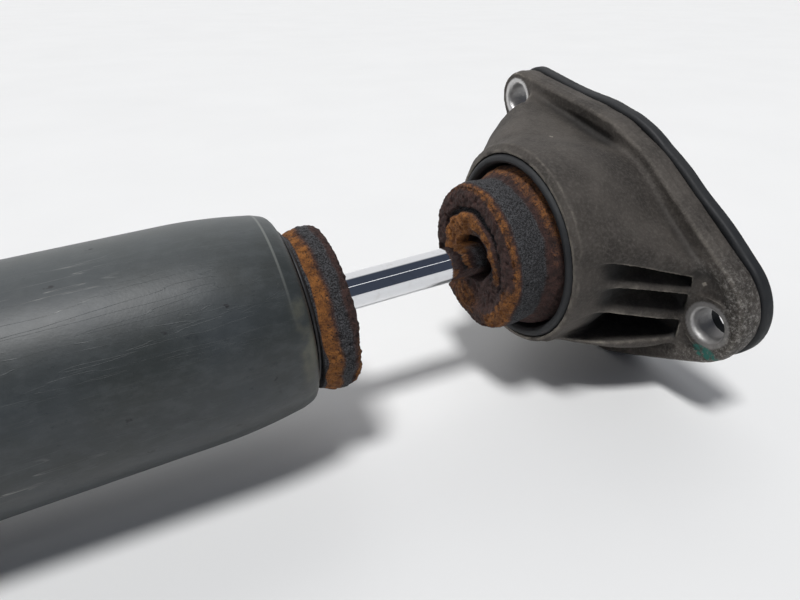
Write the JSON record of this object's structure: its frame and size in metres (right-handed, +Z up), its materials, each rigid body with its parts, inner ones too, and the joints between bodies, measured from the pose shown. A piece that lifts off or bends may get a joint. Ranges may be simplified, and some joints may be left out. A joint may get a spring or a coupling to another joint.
{
  "type": "strut assembly",
  "caption": "Telescopic rear suspension damper with a broken bump stop, a chromed rod, a cast aluminium top mount bolted through two lobes, and a rubber-bushed lower eye.",
  "frame": {"origin": "under the middle of the bounding box, on the surface that the strut lies on", "axes": "+Z up; the strut's axis lies in the XZ plane and runs towards +X and the top mount, rising 3.14 degrees; +Y is across it"},
  "size_m": [0.4912, 0.1374, 0.1063],
  "materials": {
    "coated_steel": "matte, scratched",
    "black_steel": "satin",
    "chrome": "mirror",
    "cast_aluminium": "as cast, grimy",
    "plated_steel": "zinc plated",
    "sintered_iron": "matte",
    "bronze": "satin",
    "ptfe": "smooth",
    "rubber": "matte",
    "foam": "crumbling, rusty"
  },
  "bodies": {
    "top_mount": {"mount_housing": "cast_aluminium", "bump_stop_cup": "rubber", "bump_stop_upper_half": "foam", "isolator_rubber": "rubber", "retainer_plate": "plated_steel", "flange_gasket": "rubber"},
    "rod": {"piston_rod": "chrome", "front_washer": "plated_steel", "isolator_core": "black_steel", "rear_washer": "plated_steel", "rod_nut": "plated_steel", "rebound_bumper": "rubber", "rebound_collar": "plated_steel", "piston_washer": "plated_steel", "rebound_shims": "plated_steel", "piston": "sintered_iron", "compression_shims": "plated_steel", "piston_nut": "plated_steel"},
    "band": {"piston_band": "ptfe"},
    "damper_body": {"outer_tube": "coated_steel", "base_cap": "coated_steel", "striker_cap": "black_steel", "rod_guide": "sintered_iron", "guide_bush": "bronze", "rod_seal": "rubber", "seal_garter_spring": "plated_steel", "working_cylinder": "plated_steel", "foot_valve_body": "sintered_iron", "foot_valve_pin": "plated_steel", "foot_valve_shims": "plated_steel", "bump_stop_lower_half": "foam", "lower_eye": "coated_steel", "bush_shell": "plated_steel", "bush_rubber": "rubber"},
    "check_plate": {"foot_check_plate": "plated_steel"},
    "sleeve": {"bush_sleeve": "plated_steel"}
  },
  "joints": [
    {"name": "rod_swing", "type": "hinge", "parent": "top_mount", "child": "rod", "pos_m": [0.21471, -0.00245, 0.05566], "axis": [-0.0548, 0, 0.9985], "range_deg": [-2, 2], "stiffness_Nm_per_rad": 60},
    {"name": "body_spin", "type": "hinge", "parent": "rod", "child": "band", "pos_m": [0.09939, -0.00245, 0.04934], "axis": [0.9985, 0, 0.0548], "continuous": true},
    {"name": "body_slide", "type": "slide", "parent": "band", "child": "damper_body", "axis": [0.9985, 0, 0.0548], "range_m": [-0.1, 0.046]},
    {"name": "check_plate_lift", "type": "slide", "parent": "damper_body", "child": "check_plate", "axis": [0.9985, 0, 0.0548], "range_m": [0, 0.0018]},
    {"name": "sleeve_twist", "type": "hinge", "parent": "damper_body", "child": "sleeve", "pos_m": [-0.22413, -0.00245, 0.03159], "axis": [0, 1, 0], "range_deg": [-15, 15], "stiffness_Nm_per_rad": 5}
  ]
}
